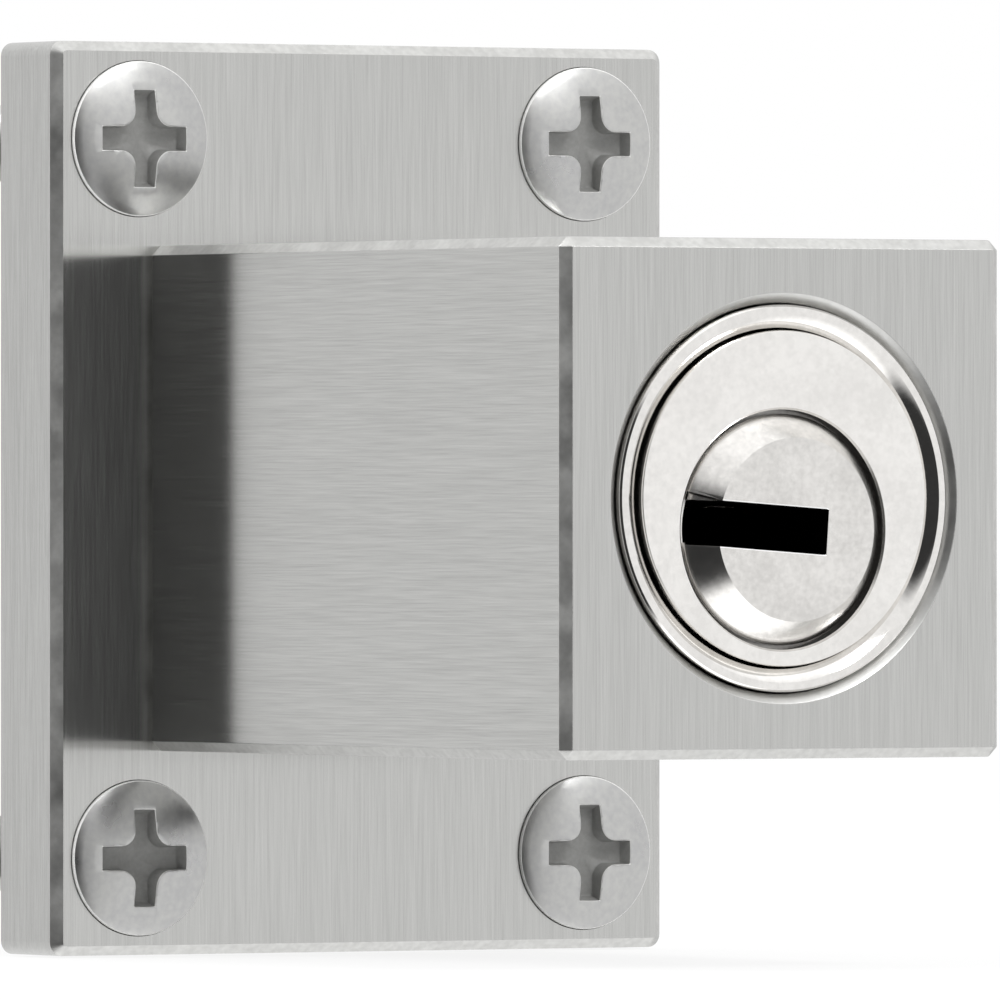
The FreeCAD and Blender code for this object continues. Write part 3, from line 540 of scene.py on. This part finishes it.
# One triangle is wound along the core, and both its ends die out
def makeThread(size, start, end):
    startPoint("thread")
    # its foot stands a little inside the core
    foot, crest, pitch = size["core"] * 0.95, size["thread"], size["pitch"]
    spots = [Vector((foot, start, 0)), Vector((crest, start + pitch / 4, 0)),
             Vector((foot, start + pitch / 2, 0))]
    bpy.ops.transform.translate(value=spots[0] * mm)
    for here, there in zip(spots, spots[1:]):
        bpy.ops.mesh.extrude_region_move(TRANSFORM_OT_translate={"value": (there - here) * mm})
    bpy.ops.mesh.select_all(action="SELECT")
    bpy.ops.mesh.edge_face_add()
    piece = stopEditing()
    rise = end - start - pitch / 2
    activate(piece)
    step = piece.modifiers.new("wind", "SCREW")
    step.axis = "Y"
    step.angle = math.tau * rise / pitch
    step.screw_offset = rise * mm
    step.steps = step.render_steps = round(size["turnSteps"] * rise / pitch)
    bpy.ops.object.modifier_apply(modifier=step.name)
    last = len(piece.data.vertices) - 3
    for first in (0, last):
        ring = [piece.data.vertices[first + i].co for i in range(3)]
        root = (ring[0] + ring[2]) / 2 * 0.98
        root.y = ring[1].y
        startEditing(piece)
        pick("VERT", lambda v: first <= v.index < first + 3)
        bpy.ops.transform.resize(value=(0.02, 0.02, 0.02), center_override=root,
                                 use_proportional_edit=True, use_proportional_connected=True,
                                 proportional_edit_falloff="SMOOTH",
                                 proportional_size=size["dieOut"] * mm)
        bpy.ops.mesh.edge_face_add()
        stopEditing()
    startEditing(piece)
    bpy.ops.mesh.normals_make_consistent(inside=False)
    return stopEditing()


def makeMountingScrews():
    size = mountingScrew
    front = -basePlate["thickness"]
    top = front - size["dome"]
    tip = front + size["length"]
    rise = size["dome"] - size["rim"]
    sphere = (size["head"] ** 2 + rise ** 2) / (2 * rise)
    dome, rings = [], 8
    for i in range(rings + 1):
        radius = size["head"] * i / rings
        dome.append((radius, top + sphere - math.sqrt(sphere ** 2 - radius ** 2)))
    threadStart = size["shank"] + size["thread"] - size["core"]
    rest = [(size["head"], front), (size["neck"], front + size["head"] - size["neck"]),
            (size["neck"], 0), (size["thread"], 0), (size["thread"], size["shank"]),
            (size["core"], threadStart), (size["core"], tip - size["point"]), (0.1, tip - 0.1),
            (0, tip)]
    model = spun("mountingScrew", dome + rest, steps=96)
    startEditing(model)
    pick("EDGE", lambda e: abs(middle(e).y - front + size["rim"]) < 0.01)
    bpy.ops.mesh.bevel(offset=size["rimRound"] * mm, segments=3, affect="EDGES")
    stopEditing()
    carve(model, crossCutter(size, top))
    softenEdges(model, size["brokenEdge"], angle=30, clamp=False)
    reach = size["span"] / 2
    # the recess is what lies deeper than the dome; it is painted darker than the head as shade
    paintFaces(model, 1, lambda place, normal: math.hypot(place.x, place.z) < reach
               and place.y < front + size["recess"] + size["pit"]
               and place.y - top > 0.02 + sphere - math.sqrt(sphere ** 2 - place.x ** 2
                                                             - place.z ** 2))
    # the recess's broken edges and the head's upright rim are painted pale as a highlight
    paintFaces(model, 2, lambda place, normal: place.y < top + size["dome"] / 2
               and math.hypot(place.x, place.z) < reach + 0.1 and -0.93 < normal.y < -0.42)
    paintFaces(model, 2, lambda place, normal: place.y < front + 0.01
               and math.hypot(place.x, place.z) > size["head"] - size["highlightRim"])
    carve(model, makeThread(size, threadStart, tip - size["point"]), operation="UNION")
    places = corners(basePlate["pitchX"], basePlate["pitchZ"])
    for i, (x, z) in enumerate(places, 1):
        activate(model)
        bpy.ops.object.duplicate()
        screw = bpy.context.object
        screw.name = f"mountingScrew{i}"
        screw.location = (x * mm, 0, z * mm)
        bpy.ops.object.transform_apply(location=True)
        settle(screw, "lock_case", "screw_steel", [rolledSteel, forgedShadedSteel, screwEdgeHighlight],
               "mounting_screws")
    bpy.data.objects.remove(model)


makeMountingScrews()


# The cylinder and all that it carries are turned clockwise in the sleeve, in degrees
lockTurn = 4.0


# Sleeve with its beaded rim

lockSleeve = {"outer": 9.7, "bore": 8.52, "front": -46.0, "back": -24.5, "floor": 1.8,
              "round": 0.25, "flat": 0.2, "slope": 0.5, "crestRound": 0.06,
              "crestDrop": 0.015, "footRound": 0.05, "boltHole": 2.6,
              "window": (-28.45, -30.3), "windowHalf": 1.3, "windowIn": 8.3,
              "guideHole": 2.06, "guideEnd": 7.3}


def makeLockSleeve():
    size = lockSleeve
    outer, bore, front, back = size["outer"], size["bore"], size["front"], size["back"]
    rim = outer - size["round"]
    floorFace = back - size["floor"]
    arc = [(rim + size["round"] * math.sin(math.radians(a)),
            front + size["round"] * (1 - math.cos(math.radians(a)))) for a in (90, 60, 30, 0)]
    # the crest is a little rounded between the flat and the slope
    crest, flatEnd, slopeEnd = size["crestRound"], rim - size["flat"], front + size["slope"]
    inner = [(flatEnd, front), (flatEnd - crest, front + size["crestDrop"]),
             (bore + size["footRound"], slopeEnd - crest), (bore, slopeEnd)]
    outline = [(size["boltHole"], back), (outer, back)] + arc + inner + [
        (bore, floorFace), (size["boltHole"], floorFace), (size["boltHole"], back)]
    piece = spun("lockSleeve", outline, steps=160)
    low, high = size["window"][1], size["window"][0]
    half = size["windowHalf"]
    cutter = plainBlock((-outer - 1, low, -half), (-size["windowIn"], high, half))
    turnPiece(cutter, lockTurn)
    carve(piece, cutter)
    carve(piece, plainRod(size["guideHole"], -outer - 1, -size["guideEnd"],
                          (0, -lockBlock["guideAt"]), "Z"))
    return settle(piece, "lock_case", "nickel_plate", [brightNickel], "lock_sleeve")


makeLockSleeve()


# Push cylinder

pushCylinder = {"disc": 8.4, "edge": 0.15, "front": -46.0, "back": -28.4, "offset": 1.56,
                "mouth": 6.0, "mouthBevel": 0.1, "mouthDepth": 0.8, "bore": 5.5,
                "flangeEnd": 1.95, "barrel": 4.75, "webFront": -30.95, "tail": 2.3,
                "pins": 5, "pinFirst": 3.4, "pinPitch": 2.45, "chamber": 1.05,
                "capFloor": 7.2, "capHalf": 1.7, "capEnds": (-44.05, -30.95),
                "guideHalf": 1.16, "guideEnds": (-39.72, -29.4), "guideFloor": 7.3,
                # rooms in its back as (left, low, right, high)
                "cavity": 1.85, "camRoom": 4.1, "catchRoom": (-5.7, -3.0, 5.4, 3.5),
                "noseRoom": (-9.4, -1.3, -5.0, 1.3), "springRoom": (0, -2.64, 7.4, -1.16),
                # holes in its back as (radius, depth, x, z)
                "returnHole": (1.15, 13.6, 4.3, 5.3), "screwHole": (0.8, 2.4, 5.2, -4.8)}


def makeCylinderBody():
    size = pushCylinder
    disc, edge, front, back = size["disc"], size["edge"], size["front"], size["back"]
    piece = spun("cylinderBody", [(0, front), (disc - edge, front), (disc - edge * 0.3,
                                  front + edge * 0.3), (disc, front + edge), (disc, back),
                                  (0, back)], steps=160)
    axis = (0, -size["offset"])
    flare, bore, barrel = size["mouth"], size["bore"], size["barrel"]
    mouthBack, flangeBack = front + size["mouthDepth"], front + size["flangeEnd"]
    web = size["webFront"]
    bevel = size["mouthBevel"]
    carve(piece, spun("cutter", [(0, front - 1), (flare + bevel, front - 1),
                                 (flare + bevel, front), (flare, front + bevel),
                                 (flare, mouthBack), (bore, mouthBack), (bore, flangeBack),
                                 (barrel, flangeBack), (barrel, web), (size["tail"], web),
                                 (size["tail"], back + 1), (0, back + 1)], axis, steps=128))
    for i in range(size["pins"]):
        along = front + size["pinFirst"] + i * size["pinPitch"]
        carve(piece, plainRod(size["chamber"], 0, size["capFloor"] + 0.5, (0, along), "Z", 32))
    low, high = size["capEnds"]
    carve(piece, plainBlock((-size["capHalf"], low, size["capFloor"]),
                            (size["capHalf"], high, disc + 1)))
    inside = back - size["cavity"]
    carve(piece, plainRod(size["camRoom"], inside, back + 1, axis, "Y", 64))
    for room in ("catchRoom", "noseRoom", "springRoom"):
        left, low, right, high = size[room]
        carve(piece, plainBlock((left, inside, low), (right, back + 1, high)))
    for sign in (-1, 1):
        for hole, steps in (("returnHole", 32), ("screwHole", 24)):
            radius, depth, x, z = size[hole]
            carve(piece, plainRod(radius, back - depth, back + 1, (sign * x, z), "Y", steps))
    # the groove between the mouth and the plug, painted darker towards the right as shade
    paintFaces(piece, 1, lambda place, normal: front + 0.08 < place.y < flangeBack
               and math.hypot(place.x - axis[0], place.z - axis[1]) < flare + 0.01)
    turnPiece(piece, lockTurn)
    half, ends = size["guideHalf"], size["guideEnds"]
    carve(piece, plainBlock((-half, ends[0], -disc - 1), (half, ends[1], -size["guideFloor"])))
    return settle(piece, "push_cylinder", "nickel_plate", [satinNickel, grooveShadedFinish],
                  "cylinder_body")


makeCylinderBody()


# Plug with its coned nose and key slot

lockPlug = {"front": -47.25, "noseFlat": 4.6, "cone": 5.78, "coneEnd": -45.78, "lip": 0.2,
            "notchDepth": 0.4, "notchTurn": 17.0, "notchHigh": 0.1, "slotEdge": 0.08,
            "flange": 5.45, "flangeBack": -44.1, "barrel": 4.7, "barrelBack": -31.0, "tail": 2.25,
            "webBack": -30.25, "square": 2.4, "camBack": -29.15, "neck": 1.0,
            "clipBack": -28.8, "tailHead": 1.2, "tailEnd": -28.625,
            "slotRight": 1.86, "slotHalf": 1.125, "slotEnd": -31.7,
            "ledge": 0.34, "chamber": 1.05, "tip": 0.8}


def makeLockPlug():
    size = lockPlug
    axis = (0, -pushCylinder["offset"])
    front, flat, flange = size["front"], size["noseFlat"], size["flange"]
    cone, coneEnd = size["cone"], size["coneEnd"]
    lipEnd = coneEnd + size["lip"]
    piece = spun("lockPlug", [
        (0, front), (flat, front), (cone, coneEnd), (cone, lipEnd), (flange, lipEnd),
        (flange, size["flangeBack"]),
        (size["barrel"], size["flangeBack"]), (size["barrel"], size["barrelBack"]),
        (size["tail"], size["barrelBack"]), (size["tail"], size["webBack"]),
        (size["square"] / 2, size["webBack"]), (size["square"] / 2, size["camBack"]),
        (size["neck"], size["camBack"]), (size["neck"], size["clipBack"]),
        (size["tailHead"], size["clipBack"]), (size["tailHead"], size["tailEnd"]),
        (0, size["tailEnd"])], axis, steps=128)
    half = size["slotHalf"]
    low, high = axis[1] - half, axis[1] + half
    carve(piece, plainBlock((-flange - 1, front - 1, low), (size["slotRight"], size["slotEnd"],
                                                            high)))
    # the slot's edges are broken, so that they catch the light
    startEditing(piece)
    pick("EDGE", lambda e: all(abs(v.co.z / mm - low) < 0.01 or abs(v.co.z / mm - high) < 0.01
                               for v in e.verts)
         and max(v.co.y / mm for v in e.verts) < coneEnd + 0.01)
    bpy.ops.mesh.bevel(offset=size["slotEdge"] * mm, segments=2, affect="EDGES")
    stopEditing()
    # a shallow wedge in the cone, above the slot's open end
    slope = (cone - flat) / (coneEnd - front)
    inner = flat - size["notchDepth"]
    past, top = 7, high + size["notchHigh"]
    notch = spun("cutter", [(inner - slope, front - 1), (past, front - 1), (past, lipEnd),
                            (inner + slope * (lipEnd - front), lipEnd),
                            (inner - slope, front - 1)], axis, steps=128)
    wedge = plainBlock((-past - 1, front - 2, low), (-flat, lipEnd + 1, top))
    turnPiece(wedge, size["notchTurn"], (-flat, top))
    carve(notch, wedge, operation="INTERSECT")
    carve(piece, notch)
    wide, narrow, ledge, bottom = size["chamber"], size["tip"], size["ledge"], axis[1]
    for i in range(pushCylinder["pins"]):
        along = pushCylinder["front"] + pushCylinder["pinFirst"] + i * pushCylinder["pinPitch"]
        carve(piece, spun("cutter", [(0, bottom), (narrow, bottom), (narrow, ledge),
                                     (wide, ledge), (wide, flange), (0, flange)],
                          (0, along), "Z", 32))
    right = size["slotRight"]
    # the slot's walls and the notch's underside are painted dark as shade, the slot's broken
    # edges white as a highlight
    paintFaces(piece, 1, lambda place, normal: low - 0.01 < place.z < high + 0.01
               and place.x < right + 0.01 and place.y > front + 0.03
               and (abs(normal.z) > 0.99 or normal.x < -0.99 or normal.y < -0.99)
               and place.y < size["slotEnd"] + 0.1)
    paintFaces(piece, 1, lambda place, normal: place.x < -flat + 0.3 and place.y < lipEnd
               and high - 0.2 < place.z < high + 1 and normal.z < -0.9)
    edge = size["slotEdge"]
    paintFaces(piece, 2, lambda place, normal: place.y < coneEnd and place.x < right + edge
               and low - edge < place.z < high + edge and not low < place.z < high
               and 0.3 < abs(normal.z) < 0.95)
    paintFaces(piece, 2, lambda place, normal: place.y < front + edge
               and right < place.x < right + edge and low < place.z < high
               and -0.95 < normal.x < -0.3)
    turnPiece(piece, lockTurn)
    return settle(piece, "key_plug", "plug_nickel", [plugNickel, keywayShade, slotEdgeHighlight],
                  "lock_plug")


makeLockPlug()


# Rod bushes and locking pin

rodBush = {"bore": 6.1, "outer": 7.1, "start": 4.0, "end": 12.9, "lead": 0.5,
           "brokenEdge": 0.08}


def makeBushes():
    size = rodBush
    for name, sign, node in (("rodBushTop", 1, "rod_bush_top"),
                             ("rodBushBottom", -1, "rod_bush_bottom")):
        start, end = sign * size["start"], sign * size["end"]
        bore, outer, lead = size["bore"], size["outer"], size["lead"]
        piece = spun(name, [(bore, start), (outer, start), (outer, end), (bore + lead, end),
                            (bore, end - sign * lead), (bore, start)],
                     (0, -lockBlock["rodAt"]), "Z", 96)
        softenEdges(piece, size["brokenEdge"])
        settle(piece, "lock_case", "bush_plastic", [acetal], node)


makeBushes()


lockingPin = {"root": -28.4, "spigot": 1.8, "shoulder": -26.8, "radius": 2.5, "tip": -13.3,
              "lead": 0.6, "brokenEdge": 0.06}


def makeLockingPin():
    size = lockingPin
    piece = spun("lockingPin", [
        (0, size["root"]), (size["spigot"], size["root"]), (size["spigot"], size["shoulder"]),
        (size["radius"], size["shoulder"]), (size["radius"], size["tip"] - size["lead"]),
        (size["radius"] - size["lead"], size["tip"]), (0, size["tip"])], steps=64)
    softenEdges(piece, size["brokenEdge"])
    settle(piece, "push_cylinder", "hard_steel", [hardSteel], "locking_pin")


makeLockingPin()


# CAD nodes that keep their shape

finishes = {
    "block_screws": turnedSteel, "guide_screw": turnedSteel, "carrier_screws": turnedSteel,
    "chamber_cap": turnedBrass, "bolt_carrier": turnedBrass, "release_cam": hardSteel,
    "retaining_clip": springWire, "catch": hardSteel, "catch_spring": springWire,
    "return_spring_left": springWire, "return_spring_right": springWire,
}
for i in range(1, pushCylinder["pins"] + 1):
    finishes[f"key_pin_{i}"] = turnedBrass
    finishes[f"driver_pin_{i}"] = turnedBrass
    finishes[f"pin_spring_{i}"] = springWire
for name, material in finishes.items():
    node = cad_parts[name]
    for holder in node.material_slots:
        holder.material = material
print("CAD nodes finished")


# Floor, lamps, world and camera

# The camera stands at azimuth and distance from the target, which shows at targetAt in a
# picture that many pixels wide; focal is the lens's length in those pixels
studio = {"glossLevel": 0.97, "floor": -23.6, "floorWidth": 6000, "floorShare": 0.85,
          "azimuth": -31.34, "distance": 932.2, "target": (0, -5.5, 0), "picture": 1000,
          "focal": 17982.0, "targetAt": (362.9, 498.4), "sensor": 36.0}
# Lamps with their place and width in metres and their power in watts
studioLamps = [
    {"name": "softboxAbove", "place": (0.11, -0.57, 0.58), "width": 0.24, "power": 2.1},
    {"name": "softboxLeft", "place": (-0.5, 0.05, 0.5), "width": 0.3, "power": 2.0},
]


def aimAt(thing, spot):
    thing.rotation_euler = (spot - thing.location).to_track_quat("-Z", "Y").to_euler()


def makeFloor():
    bpy.ops.mesh.primitive_plane_add(size=studio["floorWidth"] * mm,
                                     location=(0, 0, studio["floor"] * mm))
    floor = bpy.context.object
    floor.name = "paleFloor"
    material = bpy.data.materials.new("palePaper")
    material.use_nodes = True
    tree = material.node_tree
    tree.nodes.clear()
    paper = addNode(tree, "BsdfDiffuse", {"Color": linearColor("f4f4f4")})
    glow = addNode(tree, "Emission", {"Color": (1, 1, 1, 1), "Strength": 1.0})
    path = addNode(tree, "LightPath", {})
    seen = addNode(tree, "Math", {0: path.outputs["Is Camera Ray"],
                                  1: path.outputs["Is Glossy Ray"]}, operation="MAXIMUM")
    seen = addNode(tree, "Math", {0: seen.outputs["Value"],
                                  1: path.outputs["Is Transmission Ray"]}, operation="MAXIMUM")
    share = addNode(tree, "Math", {0: seen.outputs["Value"], 1: studio["floorShare"]},
                    operation="MULTIPLY")
    both = addNode(tree, "MixShader", {0: share.outputs["Value"], 1: paper.outputs["BSDF"],
                                       2: glow.outputs["Emission"]})
    addNode(tree, "OutputMaterial", {"Surface": both.outputs["Shader"]})
    floor.data.materials.append(material)
    # below the object the metal sees the studio itself
    floor.visible_glossy = False


# The camera sees white. The metal sees the pale studio, darker towards the camera's left side
# and lighter from above and below
studioCards = [
    {"azimuth": -50, "elevation": -6, "wide": 54, "narrow": 38, "level": 0.04},
    {"azimuth": -148, "elevation": 0, "wide": 40, "narrow": 10, "level": 0.84},
    {"azimuth": 0, "elevation": -90, "wide": 52, "narrow": 28, "level": 1.7},
    {"azimuth": 90, "elevation": 72, "wide": 52, "narrow": 24, "level": 1.35},
]


def makeWorld():
    world = bpy.data.worlds.new("studioWorld")
    bpy.context.scene.world = world
    world.use_nodes = True
    tree = world.node_tree
    tree.nodes.clear()
    place = addNode(tree, "TexCoord", {})
    level = studio["glossLevel"]
    for card in studioCards:
        a, e = math.radians(card["azimuth"]), math.radians(card["elevation"])
        way = (math.sin(a) * math.cos(e), -math.cos(a) * math.cos(e), math.sin(e))
        near = addNode(tree, "VectorMath", {0: place.outputs["Generated"], 1: way},
                       operation="DOT_PRODUCT")
        shade = addNode(tree, "MapRange", {
            "Value": near.outputs["Value"], "From Min": math.cos(math.radians(card["wide"])),
            "From Max": math.cos(math.radians(card["narrow"])), "To Min": 1.0,
            "To Max": card["level"]}, interpolation_type="SMOOTHSTEP")
        level = addNode(tree, "Math", {0: level, 1: shade.outputs["Result"]},
                        operation="MULTIPLY").outputs["Value"]
    path = addNode(tree, "LightPath", {})
    color = addNode(tree, "MixRGB", {"Fac": path.outputs["Is Camera Ray"], "Color1": level,
                                     "Color2": (1, 1, 1, 1)})
    shine = addNode(tree, "Background", {"Color": color.outputs["Color"], "Strength": 1.0})
    addNode(tree, "OutputWorld", {"Surface": shine.outputs["Background"]})


def makeLamps():
    for card in studioLamps:
        data = bpy.data.lights.new(card["name"], "AREA")
        data.size = card["width"]
        data.energy = card["power"]
        lamp = bpy.data.objects.new(card["name"], data)
        lamp.location = card["place"]
        bpy.context.collection.objects.link(lamp)
        aimAt(lamp, Vector((0, -0.02, 0)))


def makeCamera():
    a = math.radians(studio["azimuth"])
    back = Vector((math.sin(a), -math.cos(a), 0))
    right = Vector((math.cos(a), math.sin(a), 0))
    target = Vector(studio["target"]) * mm
    distance = studio["distance"] * mm
    data = bpy.data.cameras.new("camera")
    data.sensor_width = studio["sensor"]
    data.lens = studio["focal"] / studio["picture"] * studio["sensor"]
    camera = bpy.data.objects.new("camera", data)
    bpy.context.collection.objects.link(camera)
    camera.location = target + back * distance
    # the target stands left of the middle of the picture, so the camera looks past it
    perPixel, centre = distance / studio["focal"], studio["picture"] / 2
    aim = target + right * (centre - studio["targetAt"][0]) * perPixel
    aim.z -= (centre - studio["targetAt"][1]) * perPixel
    aimAt(camera, aim)
    data.clip_start, data.clip_end = 0.05, 50
    bpy.context.scene.camera = camera


makeFloor()
makeWorld()
makeLamps()
makeCamera()
bpy.context.scene.view_settings.view_transform = "Standard"
print("studio made")
